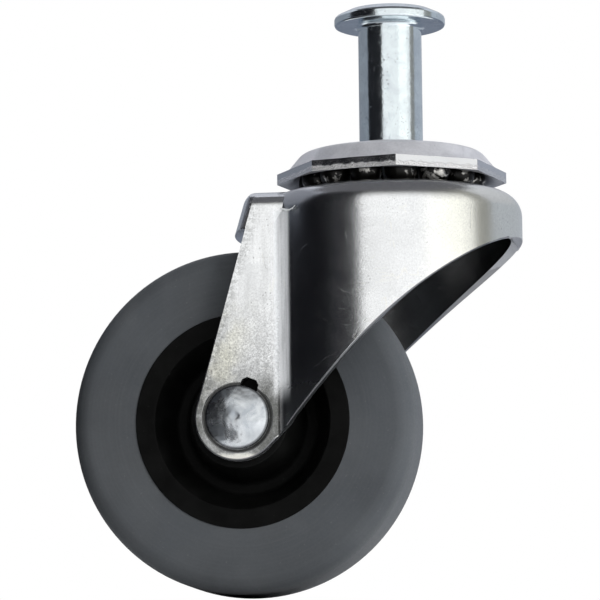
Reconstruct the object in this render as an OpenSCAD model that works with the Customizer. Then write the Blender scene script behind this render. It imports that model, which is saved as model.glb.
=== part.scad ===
// Swivel castor with a flanged stem: plated steel fork on two rows of balls, black hub and grey rubber tyre.
// Lengths are millimetres. Z is the swivel axis, z = 0 is the seat at the foot of the stem,
// and the wheel trails towards -X on an axle along Y.

/* [Layout] */
// Gap between the tyre and the crown above it
tyre_gap = 7.9; // [6.5:0.1:10]
// Distance that the axle trails behind the swivel axis
trail = 25.6; // [24.6:0.1:26.6]

/* [Stem] */
// Diameter of the neck
stem_d = 11.2; // [9.6:0.1:12]
// Length of the neck, from the seat to the underside of the head
stem_len = 21.7; // [15:0.1:40]
// Diameter of the head
head_d = 19.6; // [18:0.2:24]
// Height of the head's upright rim
head_rim_h = 1.6; // [1:0.1:3]
// Height of the bevel above the rim
head_bevel_h = 1.1; // [0.6:0.1:1.6]
// Diameter of the flat on top of the head
head_flat_d = 15; // [10:0.2:15.4]
// Radius where the neck runs into the head
neck_round = 0.9; // [0.2:0.1:1.2]
// Depth that the foot of the neck is let into the race plate
neck_sink = 0.4; // [0.2:0.1:0.8]
// Diameter of the shank below the neck
shank_d = 8; // [7:0.1:9]
// Diameter of the peened end below the lower race
peen_d = 12; // [10.4:0.2:13]
// Height of the peened end
peen_h = 1.9; // [1.4:0.1:2.4]
// Radius of the peened end's lower corner
peen_round = 1.2; // [0.4:0.1:1.3]

/* [Upper race plate] */
// Width across the flats of the octagon
plate_flats = 37.3; // [36:0.1:40]
// Thickness of the plate
plate_t = 1.9; // [1.8:0.05:2]
// Turn of the octagon about the swivel axis
plate_turn = 8.4; // [0:0.1:45]
// Diameter of the flat seat
seat_d = 17; // [14:0.2:20]
// Diameter of the dome at its shoulder
dome_d = 32; // [31.8:0.1:32.2]
// Drop from the seat to the shoulder
dome_drop = 1.5; // [1.4:0.05:1.6]
// Radius of the shoulder
dome_round = 2.2; // [2.1:0.1:2.8]
// Diameter where the dome's wall turns into its sloping foot
foot_d = 35.6; // [35.4:0.1:35.7]
// Drop from the seat to the top of the foot
foot_drop = 3.7; // [3.6:0.05:3.75]
// Diameter where the foot runs out into the flat brim
brim_d = 37.2; // [37.1:0.1:37.3]
// Drop from the seat to the brim
brim_drop = 4.6; // [4.55:0.05:4.7]
// Radius of the bends at the foot
foot_round = 0.5; // [0.3:0.1:0.5]

/* [Ball races] */
// Diameter of the upper balls
upper_ball_d = 5.7; // [5.6:0.05:5.75]
// Radius of the upper ring of balls
upper_ring_r = 13.65; // [13.6:0.05:13.7]
// Depth of the upper raceway in the crown
upper_race_depth = 0.3; // [0.2:0.05:0.5]
// Diameter of the lower balls
lower_ball_d = 4; // [3.6:0.1:4.4]
// Radius of the lower ring of balls
lower_ring_r = 8.6; // [8.4:0.1:9]
// Depth of the lower raceway in the crown
lower_race_depth = 0.4; // [0.2:0.05:0.6]
// Depth of the raceway in the floor of the lower cup
cup_race_depth = 0.4; // [0.2:0.05:0.6]
// Thickness of the lower race cup
cup_t = 1.8; // [1.4:0.1:2.2]
// Radius of the lower cup's outer corner
cup_round = 2.4; // [1:0.1:3]
// Gap between the rim of the lower cup and the crown
cup_rim_gap = 0.8; // [0.5:0.1:1.2]

/* [Fork] */
// Thickness of the fork's sheet
fork_t = 2; // [1.6:0.1:2.2]
// Distance between the inner faces of the legs
leg_gap = 25.2; // [24.4:0.2:26]
// Drop from the seat to the top of the crown
crown_drop = 8.7; // [8.6:0.05:8.8]
// Diameter of the crown
crown_d = 45.6; // [44.4:0.2:47]
// Outer radius of the crown's shoulder
shoulder_r = 4.2; // [3.4:0.1:5]
// Distance from the middle where the crown starts to slope down to each leg
slope_start = 8.6; // [8:0.1:9.4]
// Angle of that slope
fold_slope = 17; // [12:0.5:22]
// Outer radius of the fold above each leg
fold_r = 2.3; // [2.3:0.1:2.8]
// Radius of the crease between a leg and the round skirt
crease_r = 3; // [2:0.1:4]
// Radius of the leg's tip round the axle
tip_r = 7.45; // [7.3:0.05:8.2]
// Lean of the leg's front edge and of the front lip
front_lean = 16; // [14:0.5:17]
// Rise of the leg's rear edge
rear_rise = 46; // [45:0.5:49]
// Length of the straight part of the leg's rear edge
rear_straight = 20.5; // [18:0.5:23]
// Radius of the skirt's lower edge
skirt_arc_r = 120; // [95:5:140]
// Depth of the front lip below the top of the crown
lip_depth = 7; // [6:0.1:7.8]
// Distance that the middle of the lip stands ahead of the legs
lip_bulge = 3.2; // [2.4:0.1:4.4]
// Distance that the ends of the lip stand ahead of the leg's front edge
lip_lead = 0.5; // [0.3:0.1:0.8]

/* [Axle] */
// Diameter of the rivet's shank
axle_d = 8; // [7:0.1:8.4]
// Outer diameter of the bush on the rivet
bush_d = 10; // [9.4:0.1:10.6]
// Diameter of the rivet's heads
axle_head_d = 11; // [10.4:0.1:11.4]
// Height of the upright edge of a head
axle_head_edge = 1.2; // [0.8:0.1:1.6]
// Rise of the domed head
axle_dome = 1.2; // [1:0.1:2]
// Rise of the formed head on the other side
formed_dome = 1.1; // [0.8:0.1:1.6]
// Radius of the small dimple in the domed head
dimple_r = 0.8; // [0.4:0.1:1.2]
// Depth of the dimple
dimple_depth = 0.15; // [0.1:0.05:0.3]
// Diameter of the shallow seat pressed into the leg under a head
head_seat_d = 12.2; // [11.5:0.1:12.4]
// Depth of that seat
head_seat_t = 0.4; // [0.2:0.05:0.6]
// Width of the key slot in the axle hole
key_w = 3.1; // [2.6:0.1:4]
// Reach of the key slot from the axle
key_reach = 7.1; // [6.7:0.1:7.6]
// Bevel on the key slot's outer corners
key_bevel = 0.7; // [0.3:0.1:1]
// Direction of the key slot above the rear horizontal
key_turn = 69; // [55:1:90]

/* [Wheel] */
// Diameter over the tread
wheel_d = 60; // [58:0.5:61]
// Width over the hub's rims
wheel_w = 18; // [16:0.5:20]
// Width of the tread at its full diameter
tread_w = 10.4; // [9:0.2:12]
// Inset of the tyre's wall behind the hub's rim
tyre_inset = 0.25; // [0.1:0.05:0.5]
// Outer diameter of the hub's rim
hub_d = 37.4; // [36:0.2:40]
// Width of the rim's flat face
rim_w = 3.4; // [2.6:0.2:4]
// Outer diameter of the floor of the hub's channel
floor_od = 25; // [24:0.2:26]
// Inner diameter of that floor
floor_id = 20.6; // [19.6:0.2:21.4]
// Thickness of the hub between the two floors
floor_t = 5; // [4:0.5:6]
// Radius in the corners of the channel
floor_round = 0.9; // [0.4:0.1:1.2]
// Diameter of the boss at its ends
boss_d = 17; // [16:0.2:18]
// Radius of the hub's moulded edges
moulded_round = 0.35; // [0.2:0.05:0.5]
// Width of the ridge that locks the tyre on the hub
lock_w = 8; // [6:0.5:10]
// Height of that ridge
lock_h = 2; // [1:0.25:3]

/* [Clearances] */
// Gap between a ball and its raceway
race_gap = 0.05; // [0.02:0.01:0.1]
// Least gap between neighbouring balls
ball_gap = 0.1; // [0.05:0.01:0.2]
// Gap round a shank in a pressed or riveted hole
press_gap = 0.02; // [0.01:0.01:0.05]
// Gap round the shank in the crown's hole
crown_hole_gap = 0.7; // [0.4:0.1:1]
// Running gap between the hub's bore and the bush
run_gap = 0.08; // [0.03:0.01:0.1]
// Gap between the hub's boss and a leg
boss_gap = 0.3; // [0.2:0.05:0.5]

/* [Hidden] */
$fn = 96;
arc_steps = 8;       // straight steps in each rounded corner of a revolved outline
plate_sides = 8;     // sides of the upper race plate
crease_fade = 2;     // drop of the crease's top for each millimetre away from the skirt
lap = 0.5;           // overlap where shapes of one piece are joined or cut through
bite = 0.01;         // overlap of a straight edge and the round that it runs into

axle_drop = crown_drop + fork_t + tyre_gap + wheel_d / 2;
leg_out = leg_gap / 2 + fork_t;
crown_r = crown_d / 2;
crown_top = -crown_drop;
crown_under = crown_top - fork_t;
lip_z = crown_top - lip_depth;
fork_low = -axle_drop - 2 * tip_r;
fork_reach = trail + 3 * tip_r;
head_face = leg_out - head_seat_t;

// Side view of the leg as [x, z]: the axle, the ends of the tip's round and the ends of the straight edges
axle_at = [-trail, -axle_drop];
front_tangent = axle_at + (tip_r - bite) * [-cos(front_lean), sin(front_lean)];
front_corner = [front_tangent[0] + (lip_z - front_tangent[1]) * tan(front_lean), lip_z];
rear_tangent = axle_at + (tip_r - bite) * [sin(rear_rise), -cos(rear_rise)];
rear_end = rear_tangent + rear_straight * [cos(rear_rise), sin(rear_rise)];
skirt_centre = rear_end + (skirt_arc_r - bite) * [sin(rear_rise), -cos(rear_rise)];

// The lip is part of a cone round an upright axis, and starts from the legs' front corners
lip_r = (leg_out * leg_out + lip_bulge * lip_bulge) / (2 * lip_bulge);
lip_axis_x = front_corner[0] - lip_lead - lip_bulge + lip_r;

upper_ball_z = crown_top - upper_race_depth + race_gap + upper_ball_d / 2;
lower_ball_z = crown_under + lower_race_depth - race_gap - lower_ball_d / 2;
upper_ball_n = floor(180 / asin((upper_ball_d + ball_gap) / 2 / upper_ring_r));
lower_ball_n = floor(180 / asin((lower_ball_d + ball_gap) / 2 / lower_ring_r));
cup_floor = lower_ball_z - lower_ball_d / 2 - race_gap + cup_race_depth;
cup_low = cup_floor - cup_t;
cup_in_r = lower_ring_r + lower_ball_d / 2 - race_gap;
cup_rim = crown_under - cup_rim_gap;

function unit(v) = v / norm(v);
function flat(p) = [p[0], p[1]];

// Arc of radius r that rounds the corner at b between its neighbours a and c
function round_corner(a, b, c, r) =
    let (
        u = unit(a - b),
        v = unit(c - b),
        half = acos(u * v) / 2,
        centre = b + unit(u + v) * r / sin(half),
        from = b + u * r / tan(half) - centre,
        start = atan2(from[1], from[0]),
        turn = -sign(cross(u, v)) * (180 - 2 * half)
    )
    [for (k = [0 : arc_steps]) let (q = start + turn * k / arc_steps)
        centre + r * [cos(q), sin(q)]];

// Outline whose points are [x, y, corner radius]
function rounded(points) =
    let (n = len(points))
    [for (i = [0 : n - 1])
        let (
            last = flat(points[(i + n - 1) % n]),
            here = flat(points[i]),
            next = flat(points[(i + 1) % n]),
            r = points[i][2]
        )
        each r == 0 ? [here] : round_corner(last, here, next, r)];

// The same points in reverse order on the other side of the X axis
function mirrored(points) =
    [for (i = [len(points) - 1 : -1 : 0]) [points[i][0], -points[i][1], points[i][2]]];

// Point b of a sheet's outline, carried through the sheet to its other face
function through_sheet(a, b, c, t) =
    let (
        u = unit(b - a),
        v = unit(c - b),
        n = [u[1], -u[0]],
        m = [v[1], -v[0]]
    )
    b + (n + m) * t / (1 + n * m);

// Low dome of radius r and rise h that starts at height z, from its edge to its middle
function dome(r, h, z) =
    let (sphere_r = (r * r + h * h) / (2 * h), half = asin(r / sphere_r))
    [for (k = [0 : arc_steps]) let (q = half * (1 - k / arc_steps))
        [sphere_r * sin(q), z + sphere_r * cos(q) - sphere_r + h]];

module along_axle() translate([-trail, 0, -axle_drop]) rotate([90, 0, 0]) children();

module race(ring_r, z, ball_d)
    rotate_extrude() translate([ring_r, z]) circle(ball_d / 2 + race_gap);

module stem() {
    top = stem_len + head_rim_h + head_bevel_h;
    low = cup_low - peen_h;
    outline = [
        [0, low, 0],
        [peen_d / 2, low, peen_round],
        [peen_d / 2, cup_low, 0],
        [shank_d / 2, cup_low, 0],
        [shank_d / 2, -neck_sink, 0],
        [stem_d / 2, -neck_sink, 0],
        [stem_d / 2, stem_len, neck_round],
        [head_d / 2, stem_len, 0],
        [head_d / 2, stem_len + head_rim_h, 0],
        [head_flat_d / 2, top, 0],
        [0, top, 0]
    ];
    color("lightsteelblue") rotate_extrude() polygon(rounded(outline));
}

module upper_race_plate() {
    corner_r = plate_flats / 2 / cos(180 / plate_sides);
    hole_r = shank_d / 2 + press_gap;
    neck = [stem_d / 2 + press_gap, 0];
    seat = [seat_d / 2, 0];
    shoulder = [dome_d / 2, -dome_drop];
    foot = [foot_d / 2, -foot_drop];
    brim = [brim_d / 2, -brim_drop];
    edge = [corner_r + lap, -brim_drop];
    under_seat = through_sheet(neck, seat, shoulder, plate_t);
    under_shoulder = through_sheet(seat, shoulder, foot, plate_t);
    under_foot = through_sheet(shoulder, foot, brim, plate_t);
    under_brim = through_sheet(foot, brim, edge, plate_t);
    outline = [
        [hole_r, -neck_sink, 0],
        [neck[0], -neck_sink, 0],
        [neck[0], neck[1], 0],
        [seat[0], seat[1], 0],
        [shoulder[0], shoulder[1], dome_round],
        [foot[0], foot[1], foot_round],
        [brim[0], brim[1], foot_round],
        [edge[0], edge[1], 0],
        [edge[0], edge[1] - plate_t, 0],
        [under_brim[0], under_brim[1], foot_round + plate_t],
        [under_foot[0], under_foot[1], foot_round + plate_t],
        [under_shoulder[0], under_shoulder[1], dome_round - plate_t],
        [under_seat[0], under_seat[1], 0],
        [hole_r, -plate_t, 0]
    ];
    color("silver") difference() {
        intersection() {
            rotate_extrude() polygon(rounded(outline));
            rotate(plate_turn - 90)
                translate([0, 0, crown_top])
                    cylinder(h = crown_drop + lap, r = corner_r, $fn = plate_sides);
        }
        race(upper_ring_r, upper_ball_z, upper_ball_d);
    }
}

module upper_ball(i)
    color("dimgray")
        rotate(i * 360 / upper_ball_n)
            translate([upper_ring_r, 0, upper_ball_z])
                sphere(d = upper_ball_d);

module lower_ball(i)
    color("dimgray")
        rotate(i * 360 / lower_ball_n)
            translate([lower_ring_r, 0, lower_ball_z])
                sphere(d = lower_ball_d);

module lower_race_cup() {
    hole_r = shank_d / 2 + press_gap;
    outline = [
        [hole_r, cup_low, 0],
        [cup_in_r + cup_t, cup_low, cup_round],
        [cup_in_r + cup_t, cup_rim, 0],
        [cup_in_r, cup_rim, 0],
        [cup_in_r, cup_floor, 0],
        [hole_r, cup_floor, 0]
    ];
    color("silver") difference() {
        rotate_extrude() polygon(rounded(outline));
        race(lower_ring_r, lower_ball_z, lower_ball_d);
    }
}

// Round crown, inset from the outer face of the sheet
module crown_body(inset) {
    r = crown_r - inset;
    s = shoulder_r - inset;
    top = crown_top - inset;
    rotate_extrude() {
        translate([0, fork_low]) square([r - s, top - fork_low]);
        translate([0, fork_low]) square([r, top - s - fork_low]);
        translate([r - s, top - s]) circle(s);
    }
}

// Section across the legs: the crown slopes down to a fold along the top of each leg
module leg_section(inset) {
    w = leg_out - inset;
    top = crown_top - inset;
    s = fold_r - inset;
    slope_y = slope_start - inset * tan(fold_slope / 2);
    fold_z = crown_top - (leg_out - slope_start) * tan(fold_slope) - inset * tan(45 - fold_slope / 2);
    polygon(rounded([
        [w, fork_low, 0],
        [w, fold_z, s],
        [slope_y, top, 0],
        [-slope_y, top, 0],
        [-w, fold_z, s],
        [-w, fork_low, 0]
    ]));
}

// Section of the lip and the crown behind it, round the lip's own axis
module lip_section(inset) {
    s = fold_r - inset;
    top = crown_top - inset;
    low_z = lip_z - lap;
    low_r = lip_r - inset / cos(front_lean) + lap * tan(front_lean);
    tangent_z = top - s + s * sin(front_lean);
    tangent_r = low_r - (tangent_z - low_z) * tan(front_lean);
    fold_at = [tangent_r - s * cos(front_lean), top - s];
    polygon([[0, low_z], [low_r, low_z], [tangent_r, tangent_z], [fold_at[0], top], [0, top]]);
    translate(fold_at) circle(s);
}

// Legs with the crown and lip that join them, inset from the outer face of the sheet
module front_body(inset)
    intersection() {
        translate([-fork_reach, 0, 0])
            rotate([90, 0, 90])
                linear_extrude(fork_reach) leg_section(inset);
        union() {
            translate([lip_axis_x, 0, 0]) rotate_extrude() lip_section(inset);
            translate([-fork_reach, -leg_out, fork_low])
                cube([fork_reach, 2 * leg_out, lip_z - lap - fork_low]);
        }
    }

// Concave round between a leg and the skirt, inset from the outer face of the sheet.
// It fades out under the crown's shoulder.
module crease(inset) {
    r = crown_r - inset;
    w = leg_out - inset;
    s = crease_r + inset;
    h = crown_top - shoulder_r - fork_low;
    centre = [-sqrt((r + s) * (r + s) - (w + s) * (w + s)), w + s];
    on_skirt = centre * r / (r + s);
    intersection() {
        for (side = [0, 1])
            mirror([0, side, 0])
                translate([0, 0, fork_low])
                    linear_extrude(h)
                        difference() {
                            polygon([[centre[0], w - lap], centre, on_skirt, on_skirt * (r - lap) / r]);
                            translate(centre) circle(s);
                        }
        translate([0, 0, fork_low]) cylinder(h = h, r1 = r + h / crease_fade, r2 = r);
    }
}

module fork_body(inset) {
    crown_body(inset);
    front_body(inset);
    crease(inset);
}

// Side view of the fork: lip, leg and the sweep of the skirt's lower edge
module side_view()
    difference() {
        union() {
            polygon([
                [-fork_reach, 0],
                [-fork_reach, lip_z],
                front_corner,
                front_tangent,
                axle_at,
                rear_tangent,
                rear_end,
                [crown_d, rear_end[1]],
                [crown_d, 0]
            ]);
            translate(axle_at) circle(tip_r);
        }
        translate(skirt_centre) circle(skirt_arc_r, $fn = 360);
    }

module axle_hole() {
    through = 2 * leg_out + 2 * lap;
    along_axle() cylinder(h = through, d = axle_d + 2 * press_gap, center = true);
    for (side = [-1, 1])
        along_axle()
            translate([0, 0, side * (head_face + lap / 2 + head_seat_t / 2)])
                cylinder(h = head_seat_t + lap, d = head_seat_d, center = true);
    along_axle()
        rotate(key_turn)
            linear_extrude(through, center = true)
                polygon([
                    [0, -key_w / 2],
                    [key_reach - key_bevel, -key_w / 2],
                    [key_reach, key_bevel - key_w / 2],
                    [key_reach, key_w / 2 - key_bevel],
                    [key_reach - key_bevel, key_w / 2],
                    [0, key_w / 2]
                ]);
}

module fork()
    color("gainsboro") difference() {
        intersection() {
            difference() {
                fork_body(0);
                fork_body(fork_t);
            }
            rotate([90, 0, 0]) linear_extrude(2 * crown_d, center = true) side_view();
        }
        translate([0, 0, crown_under - lap])
            cylinder(h = fork_t + 2 * lap, d = shank_d + 2 * crown_hole_gap);
        race(upper_ring_r, upper_ball_z, upper_ball_d);
        race(lower_ring_r, lower_ball_z, lower_ball_d);
        axle_hole();
    }

module rivet_head(rise)
    rotate_extrude()
        polygon(concat([[0, 0], [axle_head_d / 2, 0]], dome(axle_head_d / 2, rise, axle_head_edge)));

module axle_rivet() {
    apex = head_face + axle_head_edge + axle_dome;
    dimple_sphere_r = (dimple_r * dimple_r + dimple_depth * dimple_depth) / (2 * dimple_depth);
    color("whitesmoke") along_axle() difference() {
        union() {
            cylinder(h = 2 * (head_face + lap), d = axle_d, center = true);
            translate([0, 0, head_face]) rivet_head(axle_dome);
            mirror([0, 0, 1]) translate([0, 0, head_face]) rivet_head(formed_dome);
        }
        translate([0, 0, apex - dimple_depth + dimple_sphere_r]) sphere(dimple_sphere_r);
    }
}

module axle_bush()
    color("lightgray") along_axle() difference() {
        cylinder(h = leg_gap, d = bush_d, center = true);
        cylinder(h = leg_gap + 2 * lap, d = axle_d + 2 * press_gap, center = true);
    }

module hub() {
    side = [
        [bush_d / 2 + run_gap, leg_gap / 2 - boss_gap, 0],
        [boss_d / 2, leg_gap / 2 - boss_gap, moulded_round],
        [floor_id / 2, floor_t / 2, floor_round],
        [floor_od / 2, floor_t / 2, floor_round],
        [hub_d / 2 - rim_w, wheel_w / 2, moulded_round],
        [hub_d / 2, wheel_w / 2, 0],
        [hub_d / 2, lock_w / 2, 0],
        [hub_d / 2 + lock_h, lock_w / 2, 0]
    ];
    color([0.08, 0.08, 0.08]) along_axle()
        rotate_extrude() polygon(rounded(concat(side, mirrored(side))));
}

module tyre() {
    wall = wheel_w / 2 - tyre_inset;
    side = [
        [hub_d / 2 + lock_h, lock_w / 2, 0],
        [hub_d / 2, lock_w / 2, 0],
        [hub_d / 2, wall, 0],
        [wheel_d / 2, wall, wall - tread_w / 2]
    ];
    color([0.29, 0.31, 0.32]) along_axle()
        rotate_extrude() polygon(rounded(concat(side, mirrored(side))));
}

function upper_ball_name(i) = str("upper_ball_", i);
function lower_ball_name(i) = str("lower_ball_", i);

stem();
upper_race_plate();
fork();
lower_race_cup();
axle_rivet();
axle_bush();
hub();
tyre();
for (i = [1 : upper_ball_n]) upper_ball(i);
for (i = [1 : lower_ball_n]) lower_ball(i);
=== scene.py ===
import math

import bpy
from mathutils import Matrix, Vector


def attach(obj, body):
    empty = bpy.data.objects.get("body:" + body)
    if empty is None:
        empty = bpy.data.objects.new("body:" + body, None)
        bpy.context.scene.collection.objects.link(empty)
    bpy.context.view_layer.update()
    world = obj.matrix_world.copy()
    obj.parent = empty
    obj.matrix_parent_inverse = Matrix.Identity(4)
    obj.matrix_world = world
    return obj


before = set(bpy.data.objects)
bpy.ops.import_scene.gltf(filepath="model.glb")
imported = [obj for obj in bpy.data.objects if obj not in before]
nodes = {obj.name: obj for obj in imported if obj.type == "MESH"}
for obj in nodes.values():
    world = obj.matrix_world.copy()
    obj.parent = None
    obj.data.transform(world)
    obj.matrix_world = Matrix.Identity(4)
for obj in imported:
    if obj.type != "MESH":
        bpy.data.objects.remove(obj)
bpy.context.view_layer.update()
scene = bpy.context.scene
scene.view_settings.view_transform = "Standard"
print("frame loaded,", len(nodes), "nodes")

mm = 0.001
floorHeight = -78.6 * mm
axleAt = (-25.6, -48.6)       # x and z of the axle, in mm from the swivel axis and the seat
legFront = (0.2867, -19.41)   # front edge of the legs, x = slope * z + offset, in mm


# small helpers for node trees

def addNode(tree, kind, inputs=None, **settings):
    node = tree.nodes.new(kind)
    for key, value in settings.items():
        setattr(node, key, value)
    for key, value in (inputs or {}).items():
        if isinstance(value, bpy.types.NodeSocket):
            tree.links.new(value, node.inputs[key])
        else:
            node.inputs[key].default_value = value
    return node


def addMath(tree, operation, a, b=0.0, c=0.0, clamp=False):
    node = addNode(tree, "ShaderNodeMath", {0: a, 1: b, 2: c}, operation=operation, use_clamp=clamp)
    return node.outputs[0]


def addProduct(tree, first, *factors):
    for factor in factors:
        first = addMath(tree, "MULTIPLY", first, factor)
    return first


def addInverse(tree, share):
    return addMath(tree, "SUBTRACT", 1.0, share)


def addLength(tree, a, b):
    squares = addMath(tree, "MULTIPLY_ADD", a, a, addMath(tree, "MULTIPLY", b, b))
    return addMath(tree, "SQRT", squares)


def addFromAxle(tree, x, z):
    # along the castor, upwards, and straight out from the axle
    along = addMath(tree, "SUBTRACT", x, axleAt[0])
    up = addMath(tree, "SUBTRACT", z, axleAt[1])
    return along, up, addLength(tree, along, up)


def addRange(tree, value, low, high, toLow=0.0, toHigh=1.0, smooth=True):
    kind = "SMOOTHSTEP" if smooth else "LINEAR"
    node = addNode(tree, "ShaderNodeMapRange", {"Value": value, "From Min": low, "From Max": high,
                                                "To Min": toLow, "To Max": toHigh}, interpolation_type=kind)
    return node.outputs["Result"]


def addMix(tree, amount, a, b, blend="MIX"):
    node = addNode(tree, "ShaderNodeMix", data_type="RGBA", blend_type=blend, clamp_factor=True)
    for index, value in ((0, amount), (6, a), (7, b)):
        if isinstance(value, bpy.types.NodeSocket):
            tree.links.new(value, node.inputs[index])
        elif index == 0:
            node.inputs[index].default_value = value
        else:
            node.inputs[index].default_value = (*value, 1.0)
    return node.outputs[2]


def addNoise(tree, vector, scale, detail=3.0, roughness=0.55, distortion=0.0):
    node = addNode(tree, "ShaderNodeTexNoise", {"Vector": vector, "Scale": scale, "Detail": detail,
                                                "Roughness": roughness, "Distortion": distortion})
    return node.outputs["Fac"]


def addStretch(tree, vector, stretch, turn=(0.0, 0.0, 0.0)):
    node = addNode(tree, "ShaderNodeMapping", {"Vector": vector, "Rotation": turn, "Scale": stretch})
    return node.outputs["Vector"]


def inMillimetres(tree, place):
    return addNode(tree, "ShaderNodeVectorMath", {0: place, "Scale": 1 / mm}, operation="SCALE").outputs[0]


def surfacePlace(tree):
    return inMillimetres(tree, addNode(tree, "ShaderNodeTexCoord").outputs["Object"])


def splitAxes(tree, vector):
    node = addNode(tree, "ShaderNodeSeparateXYZ", {0: vector})
    return node.outputs[0], node.outputs[1], node.outputs[2]


def newGroup(name, inputs, outputs):
    tree = bpy.data.node_groups.new(name, "ShaderNodeTree")
    for label, value in inputs.items():
        socket = tree.interface.new_socket(label, in_out="INPUT", socket_type="NodeSocketFloat")
        socket.default_value = value
    for label, kind in outputs.items():
        tree.interface.new_socket(label, in_out="OUTPUT", socket_type=kind)
    return tree, tree.nodes.new("NodeGroupInput").outputs, tree.nodes.new("NodeGroupOutput").inputs


def placeGroup(tree, group, **values):
    node = tree.nodes.new("ShaderNodeGroup")
    node.node_tree = group
    for key, value in values.items():
        if isinstance(value, bpy.types.NodeSocket):
            tree.links.new(value, node.inputs[key])
        else:
            node.inputs[key].default_value = value
    return node.outputs


def newMaterial(name, **values):
    material = bpy.data.materials.new(name)
    material.use_nodes = True
    tree = material.node_tree
    shader = tree.nodes["Principled BSDF"]
    for key, value in values.items():
        shader.inputs[key.replace("_", " ")].default_value = value
    return material, tree, shader


def addHazeRough(tree, haze, rough):
    return addRange(tree, haze, 0.0, 1.0, rough[1], rough[0], smooth=False)


def setBump(tree, shader, height, strength, depth):
    bump = addNode(tree, "ShaderNodeBump", {"Height": height, "Strength": strength, "Distance": depth})
    tree.links.new(bump.outputs["Normal"], shader.inputs["Normal"])


# shared effects

valueOut = "NodeSocketFloat"


def makePlatingGrain():
    tree, given, out = newGroup("platingGrain", {"Grain": 3.2, "Mottle": 0.16, "Pit": 1.1},
                                {"Height": valueOut, "Tone": valueOut, "Haze": valueOut, "Pits": valueOut})
    place = surfacePlace(tree)
    grain = addNoise(tree, place, given["Grain"], 4.0, 0.65)
    coarse = addNoise(tree, place, addMath(tree, "MULTIPLY", given["Grain"], 0.35), 3.0, 0.6)
    haze = addNoise(tree, place, given["Mottle"], 5.0, 0.6, 0.6)
    cells = addNode(tree, "ShaderNodeTexVoronoi", {"Vector": place, "Scale": given["Pit"]})
    spots = cells.outputs["Distance"]
    where = addNoise(tree, place, 0.22, 2.0, 0.5)
    size = addRange(tree, where, 0.45, 0.75, 0.0, 0.16)
    pits = addInverse(tree, addRange(tree, addMath(tree, "SUBTRACT", spots, size), 0.0, 0.05))
    height = addMath(tree, "MULTIPLY_ADD", grain, 0.6, addMath(tree, "MULTIPLY", coarse, 0.5))
    height = addMath(tree, "MULTIPLY_ADD", pits, -0.7, height)
    tree.links.new(height, out["Height"])
    tree.links.new(addRange(tree, grain, 0.3, 0.7), out["Tone"])
    tree.links.new(addRange(tree, haze, 0.32, 0.68), out["Haze"])
    tree.links.new(pits, out["Pits"])
    return tree


def makeScratches():
    tree, given, out = newGroup("handlingScratches", {"Spread": 0.12, "Width": 0.006},
                                {"Lines": valueOut})
    place = surfacePlace(tree)
    lines = None
    for turn, stretch in (((0.2, 0.5, 0.3), (1.0, 1.0, 0.09)), ((0.9, -0.4, 1.1), (0.08, 1.0, 1.0)),
                          ((-0.5, 0.2, 2.0), (1.0, 0.1, 1.0))):
        ridge = addNoise(tree, addStretch(tree, place, stretch, turn), given["Spread"], 3.0, 0.4, 0.2)
        gap = addMath(tree, "ABSOLUTE", addMath(tree, "SUBTRACT", ridge, 0.5))
        line = addMath(tree, "SUBTRACT", 1.0, addMath(tree, "DIVIDE", gap, given["Width"]), clamp=True)
        lines = line if lines is None else addMath(tree, "MAXIMUM", lines, line)
    broken = addRange(tree, addNoise(tree, place, 0.35, 2.0, 0.5), 0.52, 0.6)
    tree.links.new(addMath(tree, "MULTIPLY", lines, broken), out["Lines"])
    return tree


def makeShearedEdge():
    tree, given, out = newGroup("shearedEdge", {"Depth": 0.5},
                                {"Torn": valueOut, "Height": valueOut})
    place = surfacePlace(tree)
    waver = addMath(tree, "SUBTRACT", addNoise(tree, place, 0.9, 4.0, 0.7), 0.5)
    ragged = addMath(tree, "MULTIPLY", waver, 0.9)
    torn = addRange(tree, addMath(tree, "ADD", given["Depth"], ragged), 0.42, 0.58)
    chips = addNoise(tree, place, 3.4, 4.0, 0.75)
    tree.links.new(torn, out["Torn"])
    tree.links.new(addMath(tree, "MULTIPLY", torn, addRange(tree, chips, 0.3, 0.7)), out["Height"])
    return tree


def makeSettledDust():
    tree, given, out = newGroup("settledDust", {"Patch": 0.08, "Fleck": 2.6},
                                {"Film": valueOut, "Flecks": valueOut})
    place = surfacePlace(tree)
    film = addRange(tree, addNoise(tree, place, given["Patch"], 5.0, 0.6, 0.4), 0.35, 0.75)
    flecks = addRange(tree, addNoise(tree, place, given["Fleck"], 2.0, 0.5), 0.68, 0.78)
    tree.links.new(film, out["Film"])
    tree.links.new(flecks, out["Flecks"])
    return tree


platingGrain = makePlatingGrain()
handlingScratches = makeScratches()
shearedEdge = makeShearedEdge()
settledDust = makeSettledDust()
print("shared effects built")


# finishes

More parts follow.
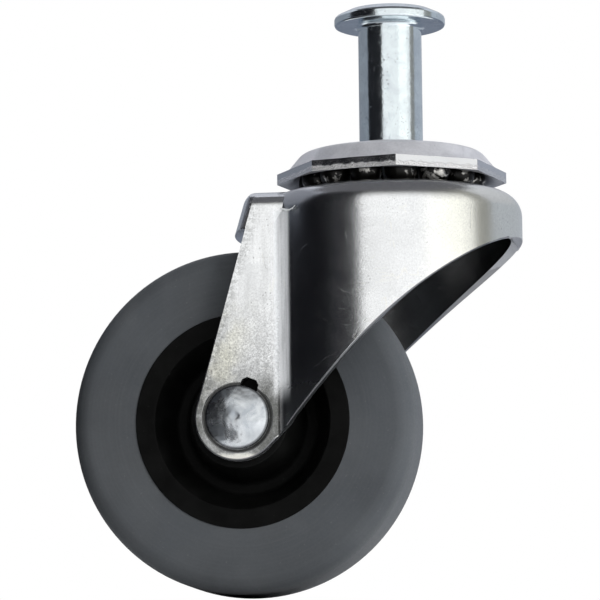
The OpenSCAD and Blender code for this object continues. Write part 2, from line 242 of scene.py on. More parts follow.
forkLook = {"bright": (0.925, 0.94, 0.945), "dull": (0.86, 0.875, 0.88), "straw": (0.86, 0.85, 0.72),
            "cream": (0.97, 0.96, 0.88), "pit": (0.12, 0.115, 0.11), "shade": (0.20, 0.204, 0.197),
            "band": (0.16, 0.17, 0.19), "insideShade": (0.12, 0.12, 0.122), "seatShadow": (0.02, 0.02, 0.02),
            "cut": (0.20, 0.205, 0.215), "cutTorn": (0.40, 0.41, 0.43), "lip": (0.07, 0.07, 0.075),
            "lipTornHighlight": (0.45, 0.46, 0.48), "creaseHighlight": (0.86, 0.88, 0.895),
            "rough": (0.19, 0.24), "grainBump": 0.4, "grainDepth": 0.06 * mm,
            # places in mm
            "edgeTop": -16.1, "legTop": -24.0, "legMiddle": -40.0, "legLow": -47.0, "tipLow": -54.2,
            "crease": -18.0, "legFace": 14.7, "sheet": (14.6, 12.6), "lipEnds": (12.4, 13.8),
            "creaseHighlightSide": (16.5, 15.6), "creaseHighlightTop": (-12.2, -13.4), "seatRing": (5.8, 0.28),
            "frontReach": (2.6, 0.5), "tipReach": (2.0, 6.5), "strawReach": (8.0, 2.0),
            # how much of each mark shows
            "legShade": 0.31, "tipShade": (0.48, 1.0), "frontShade": 0.38, "strawShare": 0.85,
            "warmReflectionShare": 0.5, "bandShare": 0.8, "pitShare": 0.2, "lineShare": 0.3, "tipReflectionShare": 0.8,
            "seatShadowShare": 0.9, "insideShadeShare": 0.85, "creaseHighlightShare": 0.9}


def makeForkZinc(look):
    material, tree, shader = newMaterial("forkZinc")
    place = surfacePlace(tree)
    x, y, z = splitAxes(tree, place)
    nx, ny, nz = splitAxes(tree, addNode(tree, "ShaderNodeTexCoord").outputs["Normal"])
    aside = addMath(tree, "ABSOLUTE", y)
    sideFacing = addMath(tree, "ABSOLUTE", ny)
    outward = addMath(tree, "MULTIPLY_ADD", x, nx, addMath(tree, "MULTIPLY", y, ny))
    onOutside = addMath(tree, "GREATER_THAN", outward, 0.0)
    fromFront = addMath(tree, "SUBTRACT", x, addMath(tree, "MULTIPLY_ADD", z, *legFront))
    axleX, axleZ, fromAxle = addFromAxle(tree, x, z)
    grain = placeGroup(tree, platingGrain)
    lines = placeGroup(tree, handlingScratches)["Lines"]
    # below the lip, only the cut edge of the sheet faces downwards
    below = addMath(tree, "LESS_THAN", z, look["edgeTop"])
    cut = addProduct(tree, addRange(tree, nz, -0.08, -0.25), below)
    torn = placeGroup(tree, shearedEdge, Depth=addRange(tree, aside, *look["sheet"], smooth=False))
    # the ends of the front lip are left as they were torn from the blank; their dark colour and light streaks
    # are also painted shade and highlights of the crumpled fold
    lip = addProduct(tree, addMath(tree, "LESS_THAN", fromFront, -0.06), addInverse(tree, below),
                     addRange(tree, aside, *look["lipEnds"]))
    ripple = addNoise(tree, addStretch(tree, place, (0.6, 0.6, 1.0)), 1.0, 4.0, 0.7, 0.8)
    lipMarks = addRange(tree, ripple, 0.5, 0.66)
    # legs: bright and streaked at the top, shaded and stippled towards the axle and the front edge
    leg = addProduct(tree, addMath(tree, "GREATER_THAN", sideFacing, 0.97),
                     addMath(tree, "LESS_THAN", aside, look["legFace"]))
    middle = addRange(tree, z, look["legTop"], look["legMiddle"])
    low = addRange(tree, z, look["legMiddle"] + 2, look["legLow"])
    forward = addRange(tree, x, look["crease"], look["crease"] - 3.5)
    blotch = addRange(tree, addNoise(tree, place, 0.14, 4.0, 0.6), 0.35, 0.65)
    uneven = addRange(tree, addNoise(tree, place, 0.5, 4.0, 0.65), 0.3, 0.7, 0.75, 1.2)
    stipple = addRange(tree, addNoise(tree, place, 1.6, 4.0, 0.7), 0.4, 0.6)
    frontShade = addProduct(tree, addRange(tree, fromFront, *look["frontReach"]), stipple, look["frontShade"])
    tipShade = addProduct(tree, addRange(tree, axleX, *look["tipReach"], *look["tipShade"]), low)
    shade = addMath(tree, "ADD", addProduct(tree, middle, forward, look["legShade"]), tipShade)
    shade = addMath(tree, "MULTIPLY_ADD", shade, uneven, frontShade)
    shade = addMath(tree, "MULTIPLY", shade, leg, clamp=True)
    streakNoise = addNoise(tree, addStretch(tree, place, (1.3, 1.3, 0.1)), 0.8, 4.0, 0.6)
    streaks = addMix(tree, leg, (1.0, 1.0, 1.0), addRange(tree, streakNoise, 0.3, 0.7, 0.9, 1.03))
    speckDepth = addMath(tree, "MULTIPLY_ADD", addProduct(tree, middle, leg), 1.68, 0.48)
    fleck = addMath(tree, "SUBTRACT", addNoise(tree, place, 3.6, 3.0, 0.75), 0.52)
    specks = addMath(tree, "MULTIPLY_ADD", fleck, speckDepth, 1.0)
    straw = addProduct(tree, middle, blotch, leg, addRange(tree, fromFront, *look["strawReach"]),
                       look["strawShare"])
    # painted reflection: a warm straw tint on faces turned towards +x
    warmReflection = addProduct(tree, addRange(tree, nx, 0.25, 0.6), look["warmReflectionShare"])
    # painted reflection: a cream crescent along the bottom of the leg's tip
    tip = addMath(tree, "MULTIPLY_ADD", blotch, 0.8, z)
    cream = addProduct(tree, addRange(tree, tip, look["tipLow"], look["tipLow"] - 0.8), leg, look["tipReflectionShare"])
    # the round skirt: a painted dark reflection beside the crease, and painted shade inside
    # painted dark reflection on the outside of the skirt next to the crease
    band = addProduct(tree, addRange(tree, nx, -0.28, -0.48), onOutside,
                      addMath(tree, "GREATER_THAN", sideFacing, 0.35), look["bandShare"])
    # painted shade on the inner faces of the skirt
    insideShade = addProduct(tree, addMath(tree, "LESS_THAN", outward, -2.0), look["insideShadeShare"])
    # a painted highlight: a white strip along the bend, down to where the leg narrows
    creaseHighlight = addProduct(tree, addRange(tree, aside, *look["creaseHighlightSide"]),
                         addRange(tree, x, look["crease"] - 1.6, look["crease"] - 0.8),
                         addMath(tree, "LESS_THAN", x, 0.0),
                         addRange(tree, z, look["legLow"], look["legMiddle"] - 2),
                         addRange(tree, z, *look["creaseHighlightTop"]), onOutside,
                         addRange(tree, streakNoise, 0.25, 0.6, 0.7, 1.0))
    # painted shadow in the ring round the rivet's head
    ringMiddle, ringHalf = look["seatRing"]
    fromRing = addMath(tree, "ABSOLUTE", addMath(tree, "SUBTRACT", fromAxle, ringMiddle))
    ring = addProduct(tree, addRange(tree, fromRing, ringHalf, ringHalf * 0.6), leg, look["seatShadowShare"])
    color = addMix(tree, grain["Haze"], look["dull"], look["bright"])
    color = addMix(tree, 1.0, color, streaks, "MULTIPLY")
    color = addMix(tree, addMath(tree, "MAXIMUM", straw, warmReflection), color, look["straw"])
    color = addMix(tree, shade, color, look["shade"])
    color = addMix(tree, band, color, look["band"])
    color = addMix(tree, creaseHighlight, color, look["creaseHighlight"])
    color = addMix(tree, 1.0, color, specks, "MULTIPLY")
    color = addMix(tree, addProduct(tree, grain["Pits"], look["pitShare"]), color, look["pit"])
    color = addMix(tree, addProduct(tree, lines, look["lineShare"]), color, look["cream"])
    color = addMix(tree, cream, color, look["cream"])
    color = addMix(tree, ring, color, look["seatShadow"])
    color = addMix(tree, insideShade, color, look["insideShade"])
    color = addMix(tree, cut, color, addMix(tree, torn["Torn"], look["cut"], look["cutTorn"]))
    color = addMix(tree, lip, color, addMix(tree, lipMarks, look["lip"], look["lipTornHighlight"]))
    tree.links.new(color, shader.inputs["Base Color"])
    rough = addHazeRough(tree, grain["Haze"], look["rough"])
    rough = addMath(tree, "MULTIPLY_ADD", low, 0.1, rough)
    rough = addMath(tree, "MULTIPLY_ADD", addMath(tree, "MAXIMUM", cut, lip), 0.12, rough, clamp=True)
    tree.links.new(rough, shader.inputs["Roughness"])
    tree.links.new(addInverse(tree, addProduct(tree, creaseHighlight, look["creaseHighlightShare"])), shader.inputs["Metallic"])
    edgeHeight = addMath(tree, "ADD", addProduct(tree, cut, torn["Height"], 2.0),
                         addProduct(tree, lip, lipMarks, 5.0))
    height = addMath(tree, "MULTIPLY_ADD", grain["Height"], 0.7, edgeHeight)
    height = addMath(tree, "MULTIPLY_ADD", lines, -0.4, height)
    setBump(tree, shader, height, look["grainBump"], look["grainDepth"])
    return material


stemLook = {"bright": (0.82, 0.90, 0.92), "dull": (0.70, 0.765, 0.80), "pit": (0.10, 0.10, 0.11),
            "rough": (0.10, 0.18), "bump": 0.3, "depth": 0.07 * mm}


def makeStemZinc(look):
    material, tree, shader = newMaterial("stemZinc", Metallic=1.0)
    place = surfacePlace(tree)
    grain = placeGroup(tree, platingGrain, Grain=1.7, Mottle=0.26, Pit=2.0)
    lines = placeGroup(tree, handlingScratches, Spread=0.2, Width=0.008)["Lines"]
    ripple = addNoise(tree, addStretch(tree, place, (1.0, 1.0, 0.45)), 0.7, 3.0, 0.55)
    color = addMix(tree, grain["Haze"], look["dull"], look["bright"])
    speckNoise = addNoise(tree, addStretch(tree, place, (1.0, 1.0, 0.7)), 1.5, 4.0, 0.7, 0.4)
    specks = addRange(tree, speckNoise, 0.64, 0.72)
    flaws = addMath(tree, "MAXIMUM", grain["Pits"], specks)
    color = addMix(tree, addMath(tree, "MULTIPLY", flaws, 0.7), color, look["pit"])
    color = addMix(tree, addMath(tree, "MULTIPLY", lines, 0.4), color, look["dull"], "MULTIPLY")
    tree.links.new(color, shader.inputs["Base Color"])
    rough = addHazeRough(tree, grain["Haze"], look["rough"])
    tree.links.new(addMath(tree, "ADD", rough, addMath(tree, "MULTIPLY", lines, 0.1), clamp=True),
                   shader.inputs["Roughness"])
    height = addMath(tree, "MULTIPLY_ADD", ripple, 0.8, addMath(tree, "MULTIPLY", grain["Height"], 1.3))
    height = addMath(tree, "SUBTRACT", height, specks)
    setBump(tree, shader, height, look["bump"], look["depth"])
    return material


plateLook = {"bright": (0.60, 0.605, 0.635), "dull": (0.49, 0.495, 0.525), "pit": (0.12, 0.12, 0.125),
             "sheared": (0.66, 0.67, 0.69), "tornLight": (0.85, 0.85, 0.85),
             "satin": 0.5, "rough": (0.36, 0.5), "bump": 0.3, "depth": 0.06 * mm,
             "edgeRadius": 18.4, "edgeTop": -4.9, "edgeLow": -6.5}


def makePlateZinc(look):
    material, tree, shader = newMaterial("plateZinc")
    place = surfacePlace(tree)
    x, y, z = splitAxes(tree, place)
    nz = splitAxes(tree, addNode(tree, "ShaderNodeTexCoord").outputs["Normal"])[2]
    grain = placeGroup(tree, platingGrain, Grain=2.6, Mottle=0.2, Pit=0.9)
    # the sheared rim of the octagon, brighter than the satin dome
    side = addProduct(tree, addMath(tree, "GREATER_THAN", addLength(tree, x, y), look["edgeRadius"]),
                      addMath(tree, "LESS_THAN", addMath(tree, "ABSOLUTE", nz), 0.4))
    depth = addRange(tree, z, look["edgeTop"], look["edgeLow"], smooth=False)
    torn = placeGroup(tree, shearedEdge, Depth=depth)
    color = addMix(tree, grain["Haze"], look["dull"], look["bright"])
    color = addMix(tree, addMath(tree, "MULTIPLY", grain["Tone"], 0.25), color, look["dull"], "MULTIPLY")
    color = addMix(tree, addMath(tree, "MULTIPLY", grain["Pits"], 0.6), color, look["pit"])
    edge = addMix(tree, torn["Torn"], look["sheared"], look["tornLight"])
    color = addMix(tree, side, color, edge)
    tree.links.new(color, shader.inputs["Base Color"])
    rough = addHazeRough(tree, grain["Haze"], look["rough"])
    tree.links.new(addMath(tree, "SUBTRACT", rough, addMath(tree, "MULTIPLY", side, 0.24), clamp=True),
                   shader.inputs["Roughness"])
    tree.links.new(addRange(tree, side, 0.0, 1.0, look["satin"], 1.0), shader.inputs["Metallic"])
    chipped = addMath(tree, "MULTIPLY", side, torn["Height"])
    height = addMath(tree, "ADD", grain["Height"], addMath(tree, "MULTIPLY", chipped, 4.0))
    setBump(tree, shader, height, look["bump"], look["depth"])
    return material


rivetLook = {"bright": (0.72, 0.75, 0.77), "dull": (0.46, 0.50, 0.54), "rim": (0.06, 0.062, 0.068),
             "rough": (0.2, 0.32), "bump": 0.35, "depth": 0.1 * mm,
             "rimRadius": (5.0, 5.35), "hammered": (2.4, 0.6)}


def makeRivetZinc(look):
    material, tree, shader = newMaterial("rivetZinc", Metallic=1.0)
    place = surfacePlace(tree)
    x, y, z = splitAxes(tree, place)
    radius = addFromAxle(tree, x, z)[2]
    grain = placeGroup(tree, platingGrain, Grain=2.0, Mottle=0.3, Pit=1.0)
    # the press left the middle of the head rougher than its dome
    hammered = addRange(tree, radius, *look["hammered"])
    dents = addNoise(tree, place, 0.9, 3.0, 0.55)
    waves = addNoise(tree, place, 0.36, 2.0, 0.4)
    # painted shade: the outer rim of the head is darkened round its edge
    rim = addRange(tree, radius, *look["rimRadius"])
    color = addMix(tree, grain["Haze"], look["dull"], look["bright"])
    color = addMix(tree, addMath(tree, "MULTIPLY", rim, 0.8), color, look["rim"])
    tree.links.new(color, shader.inputs["Base Color"])
    rough = addHazeRough(tree, grain["Haze"], look["rough"])
    tree.links.new(addMath(tree, "MULTIPLY_ADD", hammered, 0.12, rough), shader.inputs["Roughness"])
    height = addMath(tree, "MULTIPLY_ADD", waves, 8.0, addProduct(tree, dents, hammered, 3.0))
    setBump(tree, shader, height, look["bump"], look["depth"])
    return material


tyreLook = {"rubber": (0.058, 0.064, 0.071), "worn": (0.072, 0.078, 0.084), "deep": (0.048, 0.053, 0.059),
            "dust": (0.16, 0.16, 0.155), "tread": (29.3, 29.95), "rough": (0.62, 0.78), "bump": 0.25,
            "depth": 0.05 * mm}


def makeTyreRubber(look):
    material, tree, shader = newMaterial("tyreRubber", Metallic=0.0, Specular_IOR_Level=0.35)
    place = surfacePlace(tree)
    x, y, z = splitAxes(tree, place)
    dust = placeGroup(tree, settledDust, Patch=0.06, Fleck=1.8)
    fine = addNoise(tree, place, 2.2, 4.0, 0.65)
    broad = addNoise(tree, place, 0.07, 4.0, 0.55)
    # faint turned rings, drawn by a noise that changes with the radius only
    radius = addFromAxle(tree, x, z)[2]
    ringPlace = addNode(tree, "ShaderNodeCombineXYZ", {0: radius}).outputs[0]
    rings = addNoise(tree, ringPlace, 1.6, 3.0, 0.6)
    tread = addRange(tree, radius, *look["tread"])
    color = addMix(tree, addRange(tree, broad, 0.35, 0.65), look["rubber"], look["deep"])
    color = addMix(tree, addMath(tree, "MULTIPLY", addRange(tree, rings, 0.4, 0.7), 0.35), color, look["worn"])
    color = addMix(tree, addMath(tree, "MULTIPLY", tread, 0.6), color, look["worn"])
    color = addMix(tree, addMath(tree, "MULTIPLY", dust["Film"], 0.10), color, look["dust"])
    color = addMix(tree, addMath(tree, "MULTIPLY", dust["Flecks"], 0.25), color, look["dust"])
    tree.links.new(color, shader.inputs["Base Color"])
    tree.links.new(addRange(tree, fine, 0.3, 0.7, *look["rough"]), shader.inputs["Roughness"])
    height = addMath(tree, "ADD", addMath(tree, "MULTIPLY", fine, 0.6), addMath(tree, "MULTIPLY", rings, 0.3))
    setBump(tree, shader, height, look["bump"], look["depth"])
    return material


hubLook = {"black": (0.0018, 0.0019, 0.0018), "grey": (0.0036, 0.0037, 0.0036), "dust": (0.035, 0.035, 0.034),
           "rough": (0.42, 0.56), "bump": 0.2, "depth": 0.04 * mm}


def makeHubPlastic(look):
    material, tree, shader = newMaterial("hubPlastic", Metallic=0.0, Specular_IOR_Level=0.05)
    place = surfacePlace(tree)
    dust = placeGroup(tree, settledDust, Patch=0.12, Fleck=2.2)
    spark = addNoise(tree, place, 3.0, 3.0, 0.6)
    flow = addNoise(tree, addStretch(tree, place, (1.0, 0.25, 1.0)), 0.3, 4.0, 0.6)
    color = addMix(tree, addRange(tree, flow, 0.35, 0.7), look["black"], look["grey"])
    color = addMix(tree, addMath(tree, "MULTIPLY", dust["Flecks"], 0.25), color, look["dust"])
    color = addMix(tree, addMath(tree, "MULTIPLY", dust["Film"], 0.05), color, look["dust"])
    tree.links.new(color, shader.inputs["Base Color"])
    tree.links.new(addRange(tree, flow, 0.3, 0.7, *look["rough"]), shader.inputs["Roughness"])
    setBump(tree, shader, spark, look["bump"], look["depth"])
    return material


ballLook = {"steel": (0.60, 0.585, 0.55), "grease": (0.004, 0.0035, 0.0025), "rough": (0.2, 0.45),
            "bump": 0.4, "depth": 0.12 * mm}


def makeGreasySteel(look):
    material, tree, shader = newMaterial("greasySteel", Metallic=0.7, Coat_Roughness=0.12)
    place = surfacePlace(tree)
    smear = addRange(tree, addNoise(tree, place, 0.5, 4.0, 0.6, 0.5), 0.35, 0.44)
    color = addMix(tree, smear, look["steel"], look["grease"])
    tree.links.new(color, shader.inputs["Base Color"])
    tree.links.new(addRange(tree, smear, 0.0, 1.0, *look["rough"]), shader.inputs["Roughness"])
    tree.links.new(addRange(tree, smear, 0.0, 1.0, 0.05, 0.2), shader.inputs["Coat Weight"])
    setBump(tree, shader, addNoise(tree, place, 0.9, 3.0, 0.5), look["bump"], look["depth"])
    return material


finishes = {"fork": makeForkZinc(forkLook), "stem": makeStemZinc(stemLook), "plate": makePlateZinc(plateLook),
            "rivet": makeRivetZinc(rivetLook), "tyre": makeTyreRubber(tyreLook),
            "hub": makeHubPlastic(hubLook), "ball": makeGreasySteel(ballLook)}
finishOf = {"stem": "stem", "upper_race_plate": "plate", "fork": "fork", "lower_race_cup": "plate",
            "axle_rivet": "rivet", "axle_bush": "rivet", "hub": "hub", "tyre": "tyre"}
for name, piece in nodes.items():
    piece.data.materials.clear()
    piece.data.materials.append(finishes[finishOf.get(name, "ball")])
print("finishes placed")


# edges: smooth shading for every CAD piece, and small rounds on the sheet, turned and moulded edges

crispAngle = math.radians(32)   # edges sharper than this are rounded


def newShapeGroup(name):
    tree = bpy.data.node_groups.new(name, "GeometryNodeTree")
    tree.interface.new_socket("Geometry", in_out="INPUT", socket_type="NodeSocketGeometry")
    tree.interface.new_socket("Geometry", in_out="OUTPUT", socket_type="NodeSocketGeometry")
    return tree, tree.nodes.new("NodeGroupInput").outputs[0], tree.nodes.new("NodeGroupOutput").inputs[0]


def addPlace(tree):
    return splitAxes(tree, inMillimetres(tree, addNode(tree, "GeometryNodeInputPosition").outputs[0]))


def addNear(tree, value, middle, half):
    return addMath(tree, "LESS_THAN", addMath(tree, "ABSOLUTE", addMath(tree, "SUBTRACT", value, middle)), half)


def makeSmoothGroup():
    tree, given, out = newShapeGroup("smoothFaces")
    plain = addNode(tree, "GeometryNodeRemoveAttribute", {"Geometry": given, "Name": "custom_normal"})
    welded = addNode(tree, "GeometryNodeMergeByDistance", {"Geometry": plain.outputs[0], "Distance": 0.002 * mm})
    faces = addNode(tree, "GeometryNodeSetShadeSmooth", {"Geometry": welded.outputs[0]}, domain="FACE")
    angle = addNode(tree, "GeometryNodeInputMeshEdgeAngle").outputs["Unsigned Angle"]
    crisp = addNode(tree, "FunctionNodeCompare", {"A": angle, "B": math.radians(24)}, operation="GREATER_THAN")
    edges = addNode(tree, "GeometryNodeSetShadeSmooth",
                    {"Geometry": faces.outputs[0], "Selection": crisp.outputs[0], "Shade Smooth": False},
                    domain="EDGE")
    tree.links.new(edges.outputs[0], out)
    return tree


skirtLook = {"outer": 22.8, "inner": 20.8, "arc": 120.0, "arcX": 80.306, "arcZ": -122.374, "near": 0.06}


def makeSquareSkirt(look):
    # the sheet was cut square before it was drawn, so its inner corner ends level with the outer one
    tree, given, out = newShapeGroup("squareSkirt")
    x, y, z = addPlace(tree)

    def edgeHeight(along):
        across = addMath(tree, "SUBTRACT", along, look["arcX"])
        rise = addMath(tree, "SUBTRACT", look["arc"] ** 2, addMath(tree, "MULTIPLY", across, across))
        return addMath(tree, "ADD", addMath(tree, "SQRT", rise), look["arcZ"])

    onWall = addNear(tree, addLength(tree, x, y), look["inner"], look["near"])
    onCut = addNear(tree, z, edgeHeight(x), look["near"])
    chosen = addProduct(tree, onWall, onCut, addMath(tree, "GREATER_THAN", x, 0.0))
    target = edgeHeight(addMath(tree, "MULTIPLY", x, look["outer"] / look["inner"]))
    lift = addMath(tree, "MULTIPLY", addMath(tree, "SUBTRACT", target, z), mm)
    shift = addNode(tree, "ShaderNodeCombineXYZ", {2: lift}).outputs[0]
    moved = addNode(tree, "GeometryNodeSetPosition", {"Geometry": given, "Selection": chosen, "Offset": shift})
    tree.links.new(moved.outputs[0], out)
    return tree


outlineLook = {"legFace": 14.6, "tip": 7.4, "seat": 6.1, "slotFoot": 4.2, "seatShare": 0.45, "skirtEnd": 21.2,
               "top": -16.6, "near": 0.05}


def makeOutlineRound(look):
    # only the outline of the legs and the skirt is rounded, and the rim of the rivet's seat by less
    tree, given, out = newShapeGroup("outlineRound")
    x, y, z = addPlace(tree)
    axleX, axleZ, fromAxle = addFromAxle(tree, x, z)
    angle = addNode(tree, "GeometryNodeInputMeshEdgeAngle").outputs["Unsigned Angle"]
    crisp = addMath(tree, "GREATER_THAN", angle, crispAngle)
    below = addMath(tree, "LESS_THAN", z, look["top"])
    onFace = addNear(tree, addMath(tree, "ABSOLUTE", y), look["legFace"], look["near"])
    onLeg = addProduct(tree, onFace, addMath(tree, "GREATER_THAN", fromAxle, look["tip"]))
    onSkirt = addProduct(tree, addNear(tree, addLength(tree, x, y), skirtLook["outer"], look["near"]),
                         addMath(tree, "LESS_THAN", x, look["skirtEnd"]))
    onSeat = addProduct(tree, addNear(tree, fromAxle, look["seat"], look["near"]),
                        addMath(tree, "LESS_THAN", axleZ, look["slotFoot"]), onFace, look["seatShare"])
    share = addMath(tree, "MAXIMUM", addMath(tree, "MAXIMUM", onLeg, onSkirt), onSeat)
    share = addProduct(tree, share, crisp, below)
    stored = addNode(tree, "GeometryNodeStoreNamedAttribute",
                     {"Geometry": given, "Name": "bevel_weight_edge", "Value": share},
                     data_type="FLOAT", domain="EDGE")
    tree.links.new(stored.outputs[0], out)
    return tree


nodes["fork"].modifiers.new("squareSkirt", "NODES").node_group = makeSquareSkirt(skirtLook)
edgeRounds = {"fork": 0.34, "upper_race_plate": 0.3, "stem": 0.4, "hub": 0.15, "axle_rivet": 0.14}
smoothFaces = makeSmoothGroup()
for name, piece in nodes.items():
    piece.modifiers.new("smoothFaces", "NODES").node_group = smoothFaces
    if name in edgeRounds:
        flats = piece.modifiers.new("joinFlats", "DECIMATE")
        flats.decimate_type = "DISSOLVE"
        flats.angle_limit = math.radians(0.2)
        if name == "fork":
            piece.modifiers.new("outlineRound", "NODES").node_group = makeOutlineRound(outlineLook)
        rounding = piece.modifiers.new("edgeRound", "BEVEL")
        rounding.width = edgeRounds[name] * mm
        rounding.segments = 2
        rounding.limit_method = "WEIGHT" if name == "fork" else "ANGLE"
        rounding.angle_limit = crispAngle
        rounding.harden_normals = True
        if name == "fork":
            rounding.use_clamp_overlap = False
            rounding.loop_slide = False
print("edges rounded")


# a sliver of zinc raised by the press at the top of the near crease

burrLook = {"path": ((-17.6, -15.1, -12.7), (-16.6, -16.0, -13.1), (-15.9, -16.8, -13.2), (-15.3, -17.3, -13.0),
                     (-14.8, -17.7, -12.6)),
            "width": 0.18, "color": (0.86, 0.88, 0.88), "rough": 0.35}


def makeBurr(look):
    data = bpy.data.curves.new("foldBurr", "CURVE")
    data.dimensions = "3D"
    data.bevel_depth = look["width"] * mm
    data.bevel_resolution = 2
    line = data.splines.new("POLY")
    line.points.add(len(look["path"]) - 1)
    for k, (point, place) in enumerate(zip(line.points, look["path"])):
        point.co = (*(value * mm for value in place), 1.0)
        point.radius = 1.0 - 0.75 * k / (len(look["path"]) - 1)
    burr = bpy.data.objects.new("foldBurr", data)
    scene.collection.objects.link(burr)
    material, tree, shader = newMaterial("burrZinc", Metallic=0.2, Roughness=look["rough"])
    shader.inputs["Base Color"].default_value = (*look["color"], 1.0)
    data.materials.append(material)
    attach(burr, "fork")


makeBurr(burrLook)
print("burr placed")


# stage, light and camera

stageLook = {"floor": (0.86, 0.86, 0.86), "panelRadius": 1.5, "panelTop": 1.9, "roomLevel": 0.62,
             "veilRadius": 1.48, "paperLift": 0.05 * mm}
# colour of each paper, with the heights between which its glow changes where it fades
paperSet = {"flagCloth": {"color": (0.004, 0.004, 0.006), "glow": False},
            "glowPaper": {"color": (1.2, 1.2, 1.17)},
            "stripPaper": {"color": (0.26, 0.26, 0.25)},
            "lilacPaper": {"color": (0.43, 0.46, 0.52)},
            "greyPaper": {"color": (0.24, 0.26, 0.30)},
            "backFloorPaper": {"color": (0.16, 0.18, 0.23)},
            "ceilingPaper": {"color": (0.10, 0.10, 0.11)},
            "veilPaper": {"color": (1.0, 1.0, 1.0), "rise": (0.36, 1.9), "levels": (1.0, 0.08)},
            "skyPaper": {"color": (0.66, 0.68, 0.75), "rise": (0.5, 1.9), "levels": (0.75, 1.0)}}
cameraSet = {"place": (70.42, -637.97, -115.58), "azimuth": 7.76, "elevation": -7.87, "roll": -0.58,
             "lens": 221.72}


def makePaper(name, color, glow=True, rise=None, levels=None):
    material, tree, shader = newMaterial(name, Roughness=0.9)
    if glow:
        shader.inputs["Base Color"].default_value = (0.0, 0.0, 0.0, 1.0)
        shader.inputs["Emission Color"].default_value = (*color, 1.0)
        shader.inputs["Emission Strength"].default_value = 1.0
    else:
        shader.inputs["Base Color"].default_value = (*color, 1.0)
    if rise:
        height = splitAxes(tree, addNode(tree, "ShaderNodeTexCoord").outputs["Object"])[2]
        tree.links.new(addRange(tree, height, *rise, *levels), shader.inputs["Emission Strength"])
    return material


def makeFloor(look):
    # round, and as wide as the ring of panels
    steps, radius = 96, look["panelRadius"]
    turns = [math.tau * k / steps for k in range(steps)]
    rim = [(radius * math.cos(turn), radius * math.sin(turn), floorHeight) for turn in turns]
    mesh = bpy.data.meshes.new("floor")
    mesh.from_pydata(rim, [], [tuple(range(steps))])
    floor = bpy.data.objects.new("floor", mesh)
    scene.collection.objects.link(floor)
    material, tree, shader = newMaterial("paleFloor", Roughness=0.8)
    shader.inputs["Base Color"].default_value = (*look["floor"], 1.0)
    # the camera stands a little below the floor, so the floor is clear from underneath
    clear = addNode(tree, "ShaderNodeBsdfTransparent")
    under = addNode(tree, "ShaderNodeNewGeometry").outputs["Backfacing"]
    both = addNode(tree, "ShaderNodeMixShader", {0: under, 1: shader.outputs[0], 2: clear.outputs[0]})
    tree.links.new(both.outputs[0], tree.nodes["Material Output"].inputs["Surface"])
    mesh.materials.append(material)


papers = {name: makePaper(name, **look) for name, look in paperSet.items()}
radius, top, mat = stageLook["panelRadius"], stageLook["panelTop"], floorHeight + stageLook["paperLift"]
wall = ((radius, floorHeight), (radius, top))
veil, sky = (tuple((stageLook["veilRadius"], height) for height in paperSet[paper]["rise"])
             for paper in ("veilPaper", "skyPaper"))
# span in degrees round the swivel axis from the camera, and the radius and height of both rims
panelSet = ({"name": "blackFlag", "span": (-90, -31), "rims": wall, "paper": "flagCloth"},
            {"name": "sideCard", "span": (-122, -70), "rims": ((0.085, floorHeight), (0.085, -0.003)),
             "paper": "flagCloth"},
            {"name": "floorMat", "span": (-105, -31), "rims": ((0.075, mat), (0.7, mat)),
             "paper": "flagCloth", "lights": False},
            {"name": "frontGlow", "span": (29, 62), "rims": wall, "paper": "glowPaper"},
            {"name": "greyStrip", "span": (75, 95), "rims": wall, "paper": "stripPaper"},
            {"name": "lilacWall", "span": (95, 190), "rims": wall, "paper": "lilacPaper"},
            {"name": "greyWall", "span": (190, 270), "rims": wall, "paper": "greyPaper"},
            {"name": "backFloor", "span": (75, 285), "rims": ((0.13, mat), (radius, floorHeight)),
             "paper": "backFloorPaper", "lights": False},
            {"name": "frontVeil", "span": (-31, 75), "rims": veil, "paper": "veilPaper"},
            {"name": "backSky", "span": (95, 190), "rims": sky, "paper": "skyPaper"},
            {"name": "backSky", "span": (190, 270), "rims": sky, "paper": "skyPaper"},
            {"name": "ceiling", "span": (0, 360), "rims": ((0.0, top), (radius, top)), "paper": "ceilingPaper"})


def makePanel(name, span, rims, paper, lights=True):
    # a band round the swivel axis, unseen by the camera, that metal mirrors and that lights the rest
    steps = 32
    points, faces = [], []
    for k in range(steps + 1):
        turn = math.radians(cameraSet["azimuth"] + span[0] + (span[1] - span[0]) * k / steps)
        for reach, height in rims:
            points.append((reach * math.sin(turn), -reach * math.cos(turn), height))
        if k:
            a = 2 * k
            faces.append((a - 2, a, a + 1, a - 1))
    mesh = bpy.data.meshes.new(name)
    mesh.from_pydata(points, [], faces)
    mesh.materials.append(papers[paper])
    panel = bpy.data.objects.new(name, mesh)
    scene.collection.objects.link(panel)
    panel.visible_camera = False
    panel.visible_shadow = False
    panel.visible_diffuse = lights


def makeWorld(look):
    world = bpy.data.worlds.new("studioAir")
    scene.world = world
    world.use_nodes = True
    tree = world.node_tree
    room = tree.nodes["Background"]
    room.inputs["Color"].default_value = (1.0, 1.0, 1.0, 1.0)
    room.inputs["Strength"].default_value = look["roomLevel"]
    white = addNode(tree, "ShaderNodeBackground", {"Color": (1.0, 1.0, 1.0, 1.0), "Strength": 1.0})
    path = addNode(tree, "ShaderNodeLightPath").outputs
    mirrored = addMath(tree, "MAXIMUM", path["Is Glossy Ray"], path["Is Transmission Ray"])
    seen = addMath(tree, "MAXIMUM", path["Is Camera Ray"], mirrored)
    both = addNode(tree, "ShaderNodeMixShader", {0: seen, 1: room.outputs[0], 2: white.outputs[0]})
    tree.links.new(both.outputs[0], tree.nodes["World Output"].inputs["Surface"])


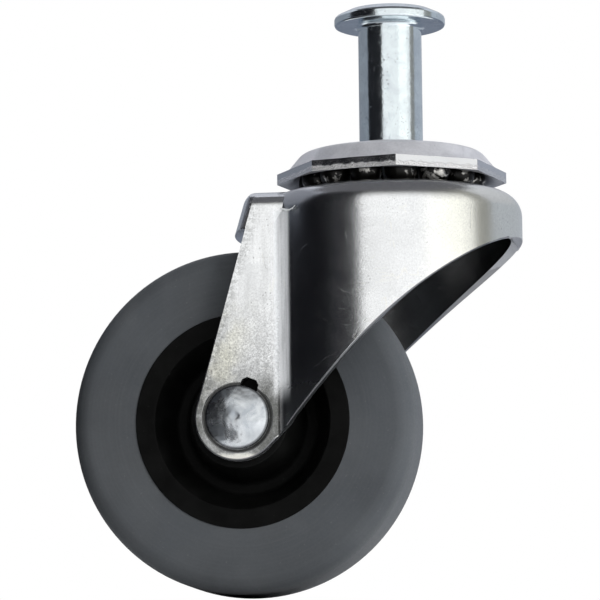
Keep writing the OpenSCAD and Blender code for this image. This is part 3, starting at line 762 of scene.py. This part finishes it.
lampSet = {"frontBox": {"turn": 42, "rise": 18, "away": 1.3, "size": (0.7, 0.8), "watts": 12.0},
           "rightBox": {"turn": 84, "rise": 4, "away": 1.2, "size": (0.6, 0.8), "watts": 9.0},
           "topBox": {"turn": 20, "rise": 78, "away": 1.2, "size": (0.9, 0.9), "watts": 7.0},
           "backBox": {"turn": 200, "rise": 30, "away": 1.3, "size": (0.9, 0.9), "watts": 9.0}}


def addLamp(name, look):
    # turn is counted round the swivel axis from the camera, rise above the horizon
    turn, rise = math.radians(cameraSet["azimuth"] + look["turn"]), math.radians(look["rise"])
    aim = Vector((-10, 0, -30)) * mm
    out = Vector((math.sin(turn) * math.cos(rise), -math.cos(turn) * math.cos(rise), math.sin(rise)))
    data = bpy.data.lights.new(name, "AREA")
    data.shape = "RECTANGLE"
    data.size, data.size_y = look["size"]
    data.energy = look["watts"]
    lamp = bpy.data.objects.new(name, data)
    scene.collection.objects.link(lamp)
    lamp.location = aim + out * look["away"]
    lamp.rotation_mode = "QUATERNION"
    lamp.rotation_quaternion = (-out).to_track_quat("-Z", "Y")
    lamp.visible_glossy = False   # the metal mirrors the panels instead


def makeCamera(look):
    a, e, r = (math.radians(look[key]) for key in ("azimuth", "elevation", "roll"))
    back = Vector((math.sin(a) * math.cos(e), -math.cos(a) * math.cos(e), math.sin(e)))
    right = Vector((0, 0, 1)).cross(back).normalized()
    up = back.cross(right)
    rolledRight = math.cos(r) * right + math.sin(r) * up
    rolledUp = math.cos(r) * up - math.sin(r) * right
    data = bpy.data.cameras.new("photoCamera")
    data.lens = look["lens"]
    data.sensor_width = 36.0
    data.clip_start = 0.01
    camera = bpy.data.objects.new("photoCamera", data)
    scene.collection.objects.link(camera)
    turn = Matrix((rolledRight, rolledUp, back)).transposed().to_4x4()
    camera.matrix_world = Matrix.Translation(Vector(look["place"]) * mm) @ turn
    scene.camera = camera


makeFloor(stageLook)
for look in panelSet:
    makePanel(**look)
makeWorld(stageLook)
for name, look in lampSet.items():
    addLamp(name, look)
makeCamera(cameraSet)
print("stage and camera ready")
